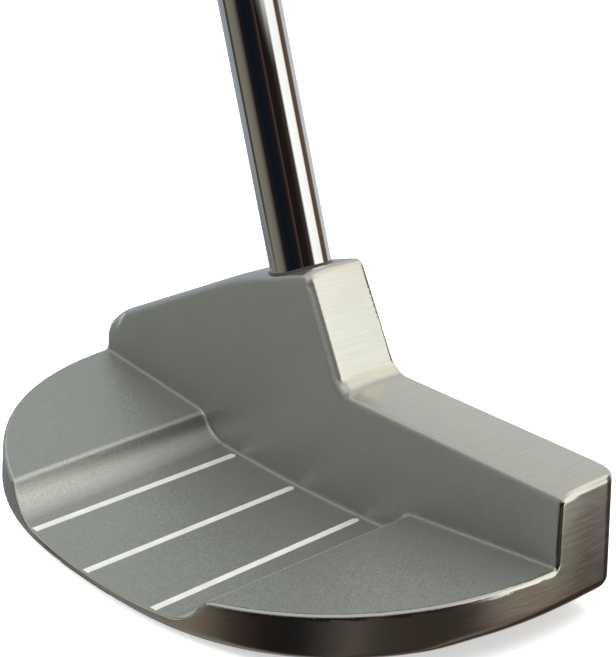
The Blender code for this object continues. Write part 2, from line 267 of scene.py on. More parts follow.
# Floor, and soft lights for matt surfaces as (name, place, size, power), in metres and watts.
FLOOR_REACH = 8.0
FLOOR_DROP = 0.05 * MM
FLOOR_GLOW = 0.5
SOFT_LIGHTS = [
    ("ceiling", (0.0, 0.0, 2.2), 3.0, 60.0),
    ("back_fill", (-0.24, -0.28, 0.20), 0.30, 1.35),
]

# What shiny surfaces see around the club: angle round from the camera in degrees, towards its right,
# and linear colour. The low band is down by the rim, the middle band is level with the shaft, and
# the high band is over both, up to the ceiling.
LOW_BAND = [
    (-180.0, (0.30, 0.32, 0.35)),
    (-150.0, (0.18, 0.20, 0.22)),
    (-130.0, (0.19, 0.19, 0.19)),
    (-108.0, (0.24, 0.235, 0.21)),
    (-92.0, (0.25, 0.24, 0.21)),
    (-66.0, (0.24, 0.20, 0.16)),
    (-50.0, (0.055, 0.040, 0.030)),
    (-35.0, (0.014, 0.010, 0.009)),
    (-20.0, (0.014, 0.014, 0.015)),
    (-8.0, (0.07, 0.062, 0.055)),
    (1.0, (0.12, 0.10, 0.088)),
    (11.0, (0.055, 0.05, 0.043)),
    (28.0, (0.050, 0.038, 0.030)),
    (45.0, (0.040, 0.034, 0.031)),
    (58.0, (0.065, 0.042, 0.033)),
    (70.0, (0.185, 0.145, 0.11)),
    (88.0, (0.19, 0.15, 0.11)),
    (97.0, (0.06, 0.042, 0.034)),
    (110.0, (0.03, 0.02, 0.016)),
    (140.0, (0.09, 0.045, 0.035)),
    (155.0, (0.36, 0.34, 0.31)),
    (180.0, (0.30, 0.32, 0.35)),
]
MIDDLE_BAND = [
    (-180.0, (0.38, 0.41, 0.44)),
    (-110.0, (0.31, 0.345, 0.38)),
    (-105.0, (0.045, 0.044, 0.036)),
    (-98.0, (0.05, 0.048, 0.040)),
    (-92.0, (0.235, 0.22, 0.175)),
    (-66.0, (0.19, 0.18, 0.145)),
    (-57.0, (0.12, 0.095, 0.085)),
    (-49.0, (0.016, 0.012, 0.012)),
    (-30.0, (0.006, 0.009, 0.014)),
    (-4.0, (0.009, 0.010, 0.014)),
    (3.0, (0.024, 0.016, 0.016)),
    (9.0, (0.085, 0.055, 0.050)),
    (12.0, (0.014, 0.009, 0.008)),
    (34.0, (0.016, 0.011, 0.010)),
    (53.0, (0.055, 0.045, 0.040)),
    (60.0, (1.30, 1.30, 1.28)),
    (94.0, (1.18, 1.20, 1.15)),
    (100.0, (0.12, 0.075, 0.055)),
    (112.0, (0.14, 0.074, 0.046)),
    (122.0, (0.16, 0.09, 0.06)),
    (130.0, (0.60, 0.66, 0.66)),
    (180.0, (0.66, 0.66, 0.65)),
]
HIGH_BAND = [
    (-180.0, (0.62, 0.63, 0.63)),
    (-120.0, (0.56, 0.57, 0.57)),
    (-60.0, (0.20, 0.20, 0.19)),
    (0.0, (0.12, 0.12, 0.12)),
    (34.0, (0.30, 0.29, 0.27)),
    (48.0, (1.22, 1.19, 1.08)),
    (124.0, (1.22, 1.19, 1.08)),
    (148.0, (0.64, 0.64, 0.63)),
    (180.0, (0.62, 0.63, 0.63)),
]

# Elevations, in degrees, over which each band gives way to the next, and the last to an even ceiling.
LOW_TO_MIDDLE = (-23.0, -16.0)
MIDDLE_TO_HIGH = (23.0, 28.0)
HIGH_TO_CEILING = (40.0, 56.0)
CEILING_COLOR = (0.62, 0.63, 0.62, 1.0)

# A soft lamp high behind the face, towards the toe: its angle round, its elevation, how wide it is
# from its even middle to where it has faded out, and its colour. Angles are in degrees.
LAMP_TURN = 122.0
LAMP_ELEVATION = 48.0
LAMP_SPREAD = (8.0, 26.0)
LAMP_COLOR = (1.05, 1.02, 0.93, 1.0)
BACKDROP_COLOR = (1.0, 1.0, 1.0, 1.0)


# Signed distances, negative inside. All of them take arrays of points.


def round_and(a, b, radius):
    """What is inside both a and b, with the edge between them rounded."""
    corner = np.hypot(np.maximum(a + radius, 0.0), np.maximum(b + radius, 0.0))
    return np.minimum(-radius, np.maximum(a, b)) + corner


def round_or(a, b, radius):
    """What is inside a or b, with the corner between them filled."""
    return -round_and(-a, -b, radius)


def soft_and(a, b, ease):
    """What is inside both a and b, where they meet at a shallow angle."""
    overlap = np.maximum(ease - np.abs(a - b), 0.0)
    return np.maximum(a, b) + overlap**2 / (4.0 * ease)


def blend_between(value, low, high):
    """0 below low, 1 above high, and a smooth change between them."""
    part = np.clip((value - low) / (high - low), 0.0, 1.0)
    return part * part * (3.0 - 2.0 * part)


def outline_distance(x, y, z):
    """The round back and the two ends, as a superellipse that shrinks with height."""
    half = HEAD_HALF_LENGTH - z * RIM_SLOPE
    depth = BACK_DEPTH - z * RIM_SLOPE
    across = np.abs(x) / half
    behind = np.maximum(WIDEST_Y - y, 0.0) / depth
    size = np.maximum((across**BACK_POWER + behind**BACK_POWER) ** (1.0 / BACK_POWER), LEAST_SIZE)
    pull = np.hypot(across ** (BACK_POWER - 1.0) / half, behind ** (BACK_POWER - 1.0) / depth)
    return (size - 1.0) / np.maximum(size ** (1.0 - BACK_POWER) * pull, LEAST_PULL)


def face_distance(y, z):
    return (y - FACE_Y) * math.cos(LOFT) + (z - LOFT_HEIGHT) * math.sin(LOFT)


def top_stretch(index, x, y, z):
    """Height above one straight stretch of the top line, square to it."""
    (x0, z0), (x1, z1) = TOP_POINTS[index : index + 2]
    length = math.hypot(x1 - x0, z1 - z0)
    crown = CROWN_HEIGHT * (1.0 - np.exp(-np.maximum(y, 0.0) / CROWN_RUN)) if CROWNED[index] else 0.0
    return ((z - z0) * (x1 - x0) - (x - x0) * (z1 - z0)) / length - crown


def top_distance(x, y, z):
    heel, hump, facet, toe = (top_stretch(k, x, y, z) for k in range(4))
    raised = round_and(soft_and(heel, hump, HEEL_BEND_EASE), facet, PEAK_RADIUS)
    return round_or(raised, np.maximum(toe, TOE_STARTS_X - x), TOE_FILLET)


def flank_z(x, y):
    return FLANK_HEIGHT + FLANK_OUTWARD_SLOPE * (np.abs(x) - FLANK_INNER_X) + BACKWARD_SLOPE * y


def channel_z(x, y):
    return CHANNEL_HEIGHT + CHANNEL_DISH * x**2 + BACKWARD_SLOPE * y


def sole_z(x, y):
    along = np.maximum(np.abs(x) - SOLE_FLAT_HALF_LENGTH, 0.0) / SOLE_END_RUN
    behind = np.maximum(-y - SOLE_FLAT_BACK, 0.0) / SOLE_BACK_RUN
    end_rise = np.where(x < 0.0, SOLE_HEEL_RISE, SOLE_TOE_RISE)
    return end_rise * along**2 + SOLE_BACK_RISE * behind**2


def recess_distance(x, y, z):
    """The open space over the flange and behind the wall."""
    foot_z = channel_z(CHANNEL_FOOT_X, 0.0)
    lean = (FLANK_INNER_X - CHANNEL_FOOT_X) / (FLANK_HEIGHT - foot_z)
    step = (np.abs(x) - CHANNEL_FOOT_X - (z - foot_z) * lean) / math.hypot(1.0, lean)
    heel_fillet = CHANNEL_HEEL_FILLET + HEEL_FILLET_GROWTH * np.maximum(-y, 0.0)
    fillet = np.where(x < 0.0, heel_fillet, CHANNEL_TOE_FILLET)
    channel = round_and(channel_z(x, y) - z, step, fillet)
    above = round_or(flank_z(x, y) - z, channel, FLANK_EDGE_RADIUS)
    return round_and(y, above, WALL_FOOT_RADIUS)


def on_facet(x):
    """1 along the facet between the hump and the toe's top, 0 away from it."""
    low, high = FACET_X
    return blend_between(x, low - FACET_EASE, low) * blend_between(-x, -high - FACET_EASE, -high)


def top_edge_radius(x, y):
    """The radius around the top: small along the casting, larger on the facet and at both ends."""
    heel = blend_between(-x, END_EDGE_X - END_EDGE_RUN, END_EDGE_X)
    toe = blend_between(x, END_EDGE_X - END_EDGE_RUN, END_EDGE_X)
    return (
        TOP_EDGE_RADIUS
        + (HEEL_END_RADIUS - TOP_EDGE_RADIUS) * heel
        + (TOE_END_RADIUS - TOP_EDGE_RADIUS) * toe
        + (FACET_EDGE_RADIUS - TOP_EDGE_RADIUS) * on_facet(x) * (y < FACE_Y / 2.0)
    )


def sole_edge_radius(x):
    """The radius around the sole: larger at the toe end."""
    toe = blend_between(x, END_EDGE_X - END_EDGE_RUN, END_EDGE_X)
    return SOLE_EDGE_RADIUS + (TOE_SOLE_EDGE_RADIUS - SOLE_EDGE_RADIUS) * toe


def head_distance(x, y, z):
    side = round_and(outline_distance(x, y, z), face_distance(y, z), FRONT_CORNER_RADIUS)
    shell = round_and(side, -recess_distance(x, y, z), RIM_EDGE_RADIUS)
    topped = round_and(shell, top_distance(x, y, z), top_edge_radius(x, y))
    return round_and(topped, sole_z(x, y) - z, sole_edge_radius(x))


def coat_distance(x, y, z):
    """How far inside the coat's edge a point of the head's surface is. Negative where bare."""
    on_flank = blend_between(np.abs(x), COAT_CORNER_X, FLANK_INNER_X)
    inset = COAT_CHANNEL_INSET + (COAT_RIM_INSET - COAT_CHANNEL_INSET) * on_flank
    off_rim = -outline_distance(x, y, z) - inset
    top_inset = COAT_TOP_INSET + (COAT_FACET_INSET - COAT_TOP_INSET) * on_facet(x)
    off_top = -top_distance(x, y, z) - top_inset
    on_recess = COAT_REACH - recess_distance(x, y, z)
    return np.minimum(np.minimum(off_rim, off_top), on_recess)


def slope_of(distance, points):
    """Gradient of a distance at points, by central differences."""
    slope = np.empty_like(points)
    for axis in range(3):
        shift = np.zeros(3)
        shift[axis] = GRADIENT_STEP
        ahead, behind = (points + shift).T, (points - shift).T
        slope[:, axis] = (distance(*ahead) - distance(*behind)) / (2.0 * GRADIENT_STEP)
    return slope


def draw_onto(distance, points):
    """Moves points along the gradient onto the surface where distance is zero."""
    for _ in range(DRAWING_PASSES):
        slope = slope_of(distance, points)
        steepness = np.maximum((slope**2).sum(axis=1, keepdims=True), LEAST_STEEPNESS)
        step = distance(*points.T)[:, None] * slope / steepness
        points = points - np.clip(step, -HEAD_GRID / 2.0, HEAD_GRID / 2.0)
    return points


def unit(vectors):
    return vectors / np.maximum(np.linalg.norm(vectors, axis=1, keepdims=True), LEAST_LENGTH)


def contour(distance, low, high, grid):
    """The closed surface where distance is zero, as points and quads, by the surface-nets method."""
    axes = [np.arange(a, b + grid, grid) for a, b in zip(low, high)]
    values = distance(*np.meshgrid(*axes, indexing="ij"))
    inside = values < 0.0
    cells = tuple(n - 1 for n in values.shape)
    corners = list(product((0, 1), repeat=3))
    filled = np.zeros(cells, dtype=int)
    for i, j, k in corners:
        filled += inside[i : i + cells[0], j : j + cells[1], k : k + cells[2]]
    active = (filled > 0) & (filled < len(corners))
    index = np.full(cells, -1)
    index[active] = np.arange(active.sum())
    base = np.argwhere(active)
    total = np.zeros((len(base), 3))
    crossings = np.zeros(len(base))
    for axis, corner in product(range(3), corners):
        if corner[axis]:
            continue
        start = base + corner
        end = start.copy()
        end[:, axis] += 1
        at_start, at_end = values[tuple(start.T)], values[tuple(end.T)]
        crosses = (at_start < 0.0) != (at_end < 0.0)
        part = np.where(crosses, at_start / np.where(crosses, at_start - at_end, 1.0), 0.0)
        place = start.astype(float)
        place[:, axis] += part
        total += place * crosses[:, None]
        crossings += crosses
    points = np.array([a[0] for a in axes]) + total / crossings[:, None] * grid
    quads = []
    for axis in range(3):
        second, third = (axis + 1) % 3, (axis + 2) % 3
        lower = np.take(inside, range(cells[axis]), axis)
        upper = np.take(inside, range(1, cells[axis] + 1), axis)
        edges = np.argwhere(lower != upper)
        ring = []
        for step_second, step_third in ((1, 1), (0, 1), (0, 0), (1, 0)):
            cell = edges.copy()
            cell[:, second] -= step_second
            cell[:, third] -= step_third
            ring.append(index[tuple(cell.T)])
        quad = np.stack(ring, axis=1)
        leaves = lower[tuple(edges.T)]
        quad[~leaves] = quad[~leaves][:, ::-1]
        quads.append(quad)
    return points, np.concatenate(quads)


def crossing(is_outside, low, high):
    """Where is_outside turns true between two arrays of places, found by halving."""
    for _ in range(HALVINGS):
        middle = (low + high) / 2.0
        outside = is_outside(middle)
        high = np.where(outside, middle, high)
        low = np.where(outside, low, middle)
    return high


# Meshes


def add_piece(name, points, faces, material, nodes, normals=None):
    """A new smooth piece that rides on the club and stands for the given CAD nodes."""
    mesh = bpy.data.meshes.new(name)
    mesh.from_pydata([tuple(p) for p in points], [], [tuple(int(i) for i in f) for f in faces])
    mesh.shade_smooth()
    mesh.materials.append(material)
    if normals is not None:
        mesh.normals_split_custom_set_from_vertices([tuple(n) for n in normals])
    piece = bpy.data.objects.new(name, mesh)
    bpy.context.collection.objects.link(piece)
    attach(piece, BODY)
    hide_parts(*nodes)
    return piece


def ring_faces(rings, count):
    """Quads between rings of count points each, and between the last ring and the first."""
    faces = []
    for r in range(rings):
        lower, upper = r * count, (r + 1) % rings * count
        for i in range(count):
            j = (i + 1) % count
            faces.append((lower + i, lower + j, upper + j, upper + i))
    return faces


def turned_points(profile, segments):
    """Rings of a turned piece from its (radius, height) profile."""
    turns = np.arange(segments) * 2.0 * math.pi / segments
    return [
        (radius * math.cos(turn), radius * math.sin(turn), height)
        for radius, height in profile
        for turn in turns
    ]


def placed(points, matrix):
    """Points moved from a piece's own frame into the club's."""
    return [tuple(matrix @ Vector(p)) for p in points]


def clip_faces(points, faces, keep):
    """The part of a mesh where keep is above zero, cut cleanly along keep = 0."""
    points = [tuple(p) for p in points]
    keep = list(keep)
    cuts = {}
    kept = []

    def cut(a, b):
        key = (min(a, b), max(a, b))
        if key not in cuts:
            part = keep[key[0]] / (keep[key[0]] - keep[key[1]])
            start, end = points[key[0]], points[key[1]]
            points.append(tuple(s + (e - s) * part for s, e in zip(start, end)))
            cuts[key] = len(points) - 1
        return cuts[key]

    for face in faces:
        inside = [keep[i] > 0.0 for i in face]
        if all(inside):
            kept.append(tuple(face))
            continue
        if not any(inside):
            continue
        outline = []
        for k, corner in enumerate(face):
            following = face[(k + 1) % len(face)]
            if inside[k]:
                outline.append(corner)
            if inside[k] != inside[(k + 1) % len(face)]:
                outline.append(cut(corner, following))
        kept.append(tuple(outline))
    used = sorted({i for face in kept for i in face})
    renumber = {old: new for new, old in enumerate(used)}
    faces = [tuple(renumber[i] for i in face) for face in kept]
    return np.array([points[i] for i in used]), faces


def shell_of(points, faces, normals, half_thickness):
    """A closed thin shell around an open sheet."""
    count = len(points)
    both = np.concatenate([points + normals * half_thickness, points - normals * half_thickness])
    edges = {}
    for face in faces:
        for a, b in zip(face, face[1:] + face[:1]):
            edges[(a, b)] = True
    border = [(a, b) for a, b in edges if (b, a) not in edges]
    under = [tuple(i + count for i in reversed(face)) for face in faces]
    walls = [(b, a, a + count, b + count) for a, b in border]
    return both, faces + under + walls


# Materials


class Nodes:
    """A node tree, with a short call for each kind of node that the materials and the world use."""

    def __init__(self, tree):
        self.tree = tree

    def node(self, kind, **settings):
        made = self.tree.nodes.new(kind)
        for key, value in settings.items():
            setattr(made, key, value)
        return made

    def plug(self, sockets, values):
        """Links each value that is another node's output, and sets the plain ones."""
        for socket, value in zip(sockets, values):
            if isinstance(value, bpy.types.NodeSocket):
                self.tree.links.new(value, socket)
            else:
                socket.default_value = value

    def feed(self, made, **inputs):
        """Sets or links a node's inputs, by name."""
        sockets = [made.inputs[name.replace("_", " ")] for name in inputs]
        self.plug(sockets, inputs.values())
        return made

    def math(self, operation, *values):
        made = self.node("ShaderNodeMath", operation=operation)
        self.plug(made.inputs, values)
        return made.outputs[0]

    def vector_math(self, operation, *values):
        made = self.node("ShaderNodeVectorMath", operation=operation)
        self.plug(made.inputs, values)
        return made

    def parts(self, vector):
        """The x, y and z of a vector."""
        made = self.node("ShaderNodeSeparateXYZ")
        self.plug(made.inputs, [vector])
        return made.outputs

    def between(self, value, low, high, start=0.0, end=1.0, easing="LINEAR"):
        """Maps low..high of a value to start..end, held at both ends."""
        made = self.node("ShaderNodeMapRange", interpolation_type=easing)
        self.feed(made, Value=value, From_Min=low, From_Max=high, To_Min=start, To_Max=end)
        return made.outputs["Result"]

    def blend(self, share, first, second):
        """A colour between two colours."""
        made = self.node("ShaderNodeMix", data_type="RGBA")
        self.plug([made.inputs[k] for k in (0, 6, 7)], [share, first, second])
        return made.outputs[2]

    def blend_numbers(self, share, first, second):
        """A number between two numbers."""
        made = self.node("ShaderNodeMix", data_type="FLOAT")
        self.plug([made.inputs[k] for k in (0, 2, 3)], [share, first, second])
        return made.outputs[0]


class Recipe(Nodes):
    """A material made around one principled shader."""

    def __init__(self, name, **shader_values):
        self.material = bpy.data.materials.new(name)
        self.material.use_nodes = True
        super().__init__(self.material.node_tree)
        self.shader = self.tree.nodes["Principled BSDF"]
        self.feed(self.shader, **shader_values)
        self.place = self.node("ShaderNodeTexCoord").outputs["Object"]

    def facing(self):
        """The surface's normal, before any bump."""
        return self.node("ShaderNodeNewGeometry").outputs["Normal"]

    def squeezed(self, scale):
        """The object's coordinates, scaled by a different amount along each axis."""
        return self.vector_math("MULTIPLY", self.place, scale).outputs[0]

    def noise(self, size, detail=2.0, roughness=0.5, place=None):
        """Smooth noise with features of about the given size."""
        made = self.node("ShaderNodeTexNoise")
        self.feed(made, Vector=place or self.place, Scale=1.0 / size, Detail=detail, Roughness=roughness)
        return made.outputs["Fac"]

    def grains(self, size):
        """A random colour for each cell of about the given size."""
        made = self.node("ShaderNodeTexVoronoi", feature="F1")
        self.feed(made, Vector=self.place, Scale=1.0 / size)
        return made.outputs["Color"]

    def bump(self, height, distance, strength=1.0, under=None):
        made = self.node("ShaderNodeBump")
        self.feed(made, Height=height, Distance=distance, Strength=strength)
        if under is not None:
            self.feed(made, Normal=under)
        return made.outputs["Normal"]

    def askew(self, colors, tilt):
        """The surface's normal, tilted a random way by each random colour."""
        centred = self.vector_math("SUBTRACT", colors, (0.5, 0.5, 0.5)).outputs[0]
        added = self.vector_math("MULTIPLY_ADD", centred, (tilt, tilt, tilt), self.facing()).outputs[0]
        return self.vector_math("NORMALIZE", added).outputs[0]

    def finish(self, **sockets):
        self.feed(self.shader, **sockets)
        return self.material


def grey(level):
    return (level, level, level, 1.0)


def make_recess_coat():
    """Silver paint: each fine metal flake lies a little askew, so the coat glitters near highlights.

    Where the surface is steep towards the heel or the toe, but for the steepest part, a painted highlight
    lightens the flakes towards a bright colour, and the paint is a little rougher there.
    """
    recipe = Recipe("recess_coat_paint", Metallic=0.75, Roughness=0.32)
    flakes = recipe.grains(FLAKE_SIZE)
    tone = recipe.feed(recipe.node("ShaderNodeSeparateColor"), Color=flakes)
    cloud = recipe.noise(14.0 * MM, detail=3.0)
    base = recipe.blend(tone.outputs["Red"], *COAT_TONES)
    base = recipe.blend(recipe.between(cloud, 0.3, 0.7, 0.0, 0.12), base, COAT_CLOUD_COLOR)
    # Painted highlight: how the surface faces decides where the base colour is lightened, standing in for
    # a band of light on the steps.
    tilt = recipe.math("ABSOLUTE", recipe.parts(recipe.facing())[0])
    steep = recipe.between(tilt, 0.20, 0.50)
    not_steepest = recipe.between(tilt, 0.60, 0.76, 1.0, 0.0)
    painted_highlight_share = recipe.math("MULTIPLY", steep, not_steepest)
    sparkle = recipe.between(tone.outputs["Green"], 0.2, 0.9, 0.35, 1.0)
    base = recipe.blend(recipe.math("MULTIPLY", painted_highlight_share, sparkle), base, PAINTED_HIGHLIGHT_COLOR)
    rough = recipe.between(painted_highlight_share, 0.0, 1.0, 0.33, 0.42)
    normal = recipe.askew(flakes, FLAKE_TILT)
    normal = recipe.bump(recipe.noise(0.9 * MM, detail=1.0), 0.015 * MM, 0.3, under=normal)
    return recipe.finish(Base_Color=base, Roughness=rough, Normal=normal)


def make_casting_steel():
    """Belt-finished stainless steel, with fine lines across the top and along the rim."""
    recipe = Recipe("casting_steel_brushed", Metallic=1.0, Roughness=0.17)
    level = recipe.math("ABSOLUTE", recipe.parts(recipe.facing())[2])
    on_top = recipe.between(level, 0.30, 0.42)
    lines_rim, lines_top = (
        recipe.noise(width, detail=3.0, roughness=0.6, place=recipe.squeezed(squeeze))
        for width, squeeze in (BRUSH_RIM, BRUSH_TOP)
    )
    line = recipe.blend_numbers(on_top, lines_rim, lines_top)
    smudge = recipe.noise(7.0 * MM, detail=3.0)
    base = recipe.blend(recipe.between(line, 0.3, 0.7), *STEEL_TONES)
    base = recipe.blend(recipe.between(smudge, 0.35, 0.75, 0.0, 0.12), base, STEEL_SMUDGE_COLOR)
    brushed = recipe.between(line, 0.25, 0.75, 0.14, 0.20)
    handled = recipe.between(smudge, 0.3, 0.7, 0.0, 0.04)
    rough = recipe.math("ADD", brushed, handled)
    strength = recipe.between(on_top, 0.0, 1.0, 0.35, 0.18)
    normal = recipe.bump(line, BRUSH_DEPTH, strength)
    return recipe.finish(Base_Color=base, Roughness=rough, Normal=normal)


def make_shaft_chrome():
    """Bright plating, with a faint haze and a few dull specks."""
    recipe = Recipe("shaft_chrome_plate", Metallic=1.0, Roughness=0.035)
    haze = recipe.noise(25.0 * MM, detail=3.0)
    speck = recipe.noise(1.2 * MM)
    base = recipe.blend(recipe.between(haze, 0.3, 0.7), *CHROME_TONES)
    hazy = recipe.between(haze, 0.35, 0.7, 0.02, 0.045)
    dull = recipe.between(speck, 0.68, 0.8, 0.0, 0.1)
    return recipe.finish(Base_Color=base, Roughness=recipe.math("ADD", hazy, dull))


def make_line_enamel():
    """White enamel, a little uneven in tone, with a soft gloss."""
    recipe = Recipe("line_enamel_white", Roughness=0.34)
    tone = recipe.noise(2.5 * MM, detail=3.0)
    base = recipe.blend(recipe.between(tone, 0.3, 0.7), *ENAMEL_TONES)
    rough = recipe.between(tone, 0.3, 0.7, 0.28, 0.42)
    normal = recipe.bump(recipe.noise(0.5 * MM), 0.02 * MM, 0.3)
    return recipe.finish(Base_Color=base, Roughness=rough, Normal=normal)


def make_bond_epoxy():
    """Cured black epoxy, glossy, with small waves."""
    recipe = Recipe("bond_epoxy_black", Roughness=0.12)
    tone = recipe.noise(0.7 * MM)
    base = recipe.blend(tone, *EPOXY_TONES)
    rough = recipe.between(tone, 0.3, 0.7, 0.08, 0.22)
    normal = recipe.bump(tone, 0.05 * MM, 0.6)
    return recipe.finish(Base_Color=base, Roughness=rough, Normal=normal)


def make_rubber(name, dark, light, grain):
    """Moulded rubber: matt, finely grained, slightly greyed where it is handled."""
    recipe = Recipe(name, Roughness=0.75)
    grit = recipe.noise(grain, detail=3.0)
    wear = recipe.noise(18.0 * MM, detail=4.0)
    base = recipe.blend(recipe.between(grit, 0.35, 0.7), grey(dark), grey(light))
    base = recipe.blend(recipe.between(wear, 0.45, 0.75, 0.0, 0.35), base, grey(light * WORN_RUBBER_GAIN))
    rough = recipe.between(wear, 0.3, 0.7, 0.62, 0.82)
    normal = recipe.bump(grit, 0.08 * MM, 0.5)
    return recipe.finish(Base_Color=base, Roughness=rough, Normal=normal)


def make_tape_paper():
    """Creped masking paper, seen only at the grip's ends."""
    recipe = Recipe("grip_tape_paper", Roughness=0.85)
    crepe = recipe.noise(0.6 * MM, detail=3.0, place=recipe.squeezed((1.0, 1.0, 3.0)))
    base = recipe.blend(crepe, *TAPE_TONES)
    normal = recipe.bump(crepe, 0.1 * MM, 0.6)
    return recipe.finish(Base_Color=base, Normal=normal)


def make_floor_paper():
    """The pale studio sweep, which glows a little and has a very faint unevenness."""
    recipe = Recipe("floor_paper", Roughness=0.9, Emission_Color=grey(1.0), Emission_Strength=FLOOR_GLOW)
    tone = recipe.noise(60.0 * MM)
    return recipe.finish(Base_Color=recipe.blend(tone, *FLOOR_TONES))


# Pieces


def add_head_and_coat(steel, paint):
    """The casting, and the coat as a thin shell on its recess."""
    low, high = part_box("head_casting")
    spare = Vector((SPARE_CELLS, SPARE_CELLS, SPARE_CELLS)) * HEAD_GRID
    top_spare = spare + Vector((0.0, CROWN_HEIGHT, CROWN_HEIGHT))
    points, quads = contour(head_distance, low - spare, high + top_spare, HEAD_GRID)
    points = draw_onto(head_distance, points)
    normals = unit(slope_of(head_distance, points))
    add_piece("head_casting_fine", points, quads, steel, ["head_casting"], normals)

    sheet, faces = clip_faces(points, quads, coat_distance(*points.T))
    sheet = draw_onto(head_distance, sheet)
    normals = unit(slope_of(head_distance, sheet))
    shell, faces = shell_of(sheet, faces, normals, COAT_HALF_THICKNESS)
    both = np.concatenate([normals, -normals])
    add_piece("recess_coat_fine", shell, faces, paint, ["recess_coat"], both)


def add_sight_line(side, x, enamel):
    """A strip of enamel with a round front end and a crowned top, lying on the channel's floor."""
    columns = LINE_COLUMNS
    half_width = LINE_WIDTH / 2.0
    across_power = abs(x / HEAD_HALF_LENGTH) ** BACK_POWER
    edge_y = WIDEST_Y - BACK_DEPTH * (1.0 - across_power) ** (1.0 / BACK_POWER)
    end_y = edge_y + COAT_CHANNEL_INSET + LINE_END_INSET
    rows = int((LINE_START_Y - end_y) / LINE_PITCH)
    top = []
    for row in range(rows + 1):
        from_start = (LINE_START_Y - end_y) * row / rows
        short = max(half_width - from_start, 0.0)
        width = math.sqrt(max(half_width**2 - short**2, (LINE_TIP_WIDTH * half_width) ** 2))
        for column in range(columns):
            across = -1.0 + 2.0 * column / (columns - 1)
            crown = 1.0 - LINE_SIDE_DROP * across**2
            top.append((x + across * width, LINE_START_Y - from_start, crown))
    top = np.array(top)
    flat_x, flat_y = top[:, 0], top[:, 1]
    floor, ceiling = np.zeros(len(top)), np.full(len(top), FLANK_HEIGHT)
    height = crossing(lambda z: head_distance(flat_x, flat_y, z) > 0.0, floor, ceiling)
    surface = np.stack([flat_x, flat_y, height], axis=1)
    normals = unit(slope_of(head_distance, surface))
    raised = surface + normals * (top[:, 2:3] * LINE_CROWN)
    sunk = surface - normals * LINE_DEPTH
    count = len(top)
    points = np.concatenate([raised, sunk])
    faces = []
    for row, column in product(range(rows), range(columns - 1)):
        a = row * columns + column
        quad = (a, a + columns, a + columns + 1, a + 1)
        faces.append(quad)
        faces.append(tuple(i + count for i in reversed(quad)))
    corners = list(range(columns))
    corners += [row * columns + columns - 1 for row in range(1, rows + 1)]
    corners += [rows * columns + column for column in range(columns - 2, -1, -1)]
    corners += [row * columns for row in range(rows - 1, 0, -1)]
    for a, b in zip(corners, corners[1:] + corners[:1]):
        faces.append((a, b, b + count, a + count))
    node = "sight_line_" + side
    add_piece(node + "_fine", points, faces, enamel, [node])


def shaft_profile():
    """The stepped outside from tip to butt, each step an eased shoulder, then the smooth inside."""
    tip = -BORE_DEPTH + PIECE_GAP
    butt = GRIP_END - PIECE_GAP
    first_step = tip + TIP_PARALLEL
    growth = (BUTT_RADIUS - TIP_RADIUS) / STEP_COUNT
    profile = [(TIP_RADIUS - PIECE_GAP, tip), (TIP_RADIUS, tip + PIECE_GAP)]
    for k in range(STEP_COUNT):
        for part in np.linspace(0.0, 1.0, STEP_RINGS):
            radius = TIP_RADIUS + (k + blend_between(part, 0.0, 1.0)) * growth
            profile.append((radius, first_step + k * STEP_PITCH + part * STEP_LENGTH))
    last_step = first_step + STEP_COUNT * STEP_PITCH
    return profile + [
        (BUTT_RADIUS, butt),
        (BUTT_RADIUS - SHAFT_WALL, butt),
        (BUTT_RADIUS - SHAFT_WALL, last_step),
        (TIP_RADIUS - SHAFT_WALL, first_step),
        (TIP_RADIUS - SHAFT_WALL, tip),
    ]


def add_shaft(chrome):
    """The shaft, a closed turned tube with its flat ends kept sharp."""
    profile = shaft_profile()
    points = placed(turned_points(profile, SHAFT_SEGMENTS), ALONG_SHAFT)
    faces = ring_faces(len(profile), SHAFT_SEGMENTS)
    piece = add_piece("shaft_fine", points, faces, chrome, ["shaft"])
    piece.data.set_sharp_from_angle(angle=SHARP_ANGLE)


def add_bond_ring(epoxy):
    """The bead of epoxy where the shaft enters the head, following the hump around it."""
    turns = np.arange(BOND_SEGMENTS) * 2.0 * math.pi / BOND_SEGMENTS
    matrix = np.array(ALONG_SHAFT)
    points = []
    for out, up in BOND_PROFILE:
        radius = TIP_RADIUS + out * BOND_WIDTH
        flat = np.stack([radius * np.cos(turns), radius * np.sin(turns)])

        def ring_at(level, flat=flat):
            return matrix[:3, :3] @ np.vstack([flat, level[None]]) + matrix[:3, 3:]

        low, high = (np.full(BOND_SEGMENTS, level) for level in BOND_SEARCH)
        on_hump = crossing(lambda level: head_distance(*ring_at(level)) > 0.0, low, high)
        points.extend(tuple(p) for p in ring_at(on_hump + up * BOND_RISE).T)
    rings = ring_faces(len(BOND_PROFILE), BOND_SEGMENTS)
    faces = [tuple(reversed(face)) for face in rings]
    add_piece("shaft_bond_fine", points, faces, epoxy, ["shaft_bond"])


def grip_size(at):
    """Flat, back and half width at a distance from the grip's mouth, eased between the stations."""
    stations = np.array(GRIP_STATIONS)
    places, sizes = stations[:, 0], stations[:, 1:]
    slopes = np.gradient(sizes, places, axis=0)
    k = int(np.clip(np.searchsorted(places, at) - 1, 0, len(places) - 2))
    span = places[k + 1] - places[k]
    t = (at - places[k]) / span
    eased = (
        (2 * t**3 - 3 * t**2 + 1) * sizes[k]
        + (t**3 - 2 * t**2 + t) * span * slopes[k]
        + (3 * t**2 - 2 * t**3) * sizes[k + 1]
        + (t**3 - t**2) * span * slopes[k + 1]
    )
    return np.minimum(eased, sizes.max(axis=0) - GRIP_CLEARANCE)


def grip_ring(flat, back, half_width, z, segments, dip=None):
    """One ring of the grip: round at the back and the sides, flat in front, less a dip at each point."""
    ring = []
    for k in range(segments):
        turn = 2.0 * math.pi * k / segments
        depth = back if math.cos(turn) < 0.0 else half_width
        x, y = min(depth * math.cos(turn), flat), half_width * math.sin(turn)
        shrink = 1.0 - (dip(turn) if dip else 0.0) / math.hypot(x, y)
        ring.append((x * shrink, y * shrink, z))
    return ring


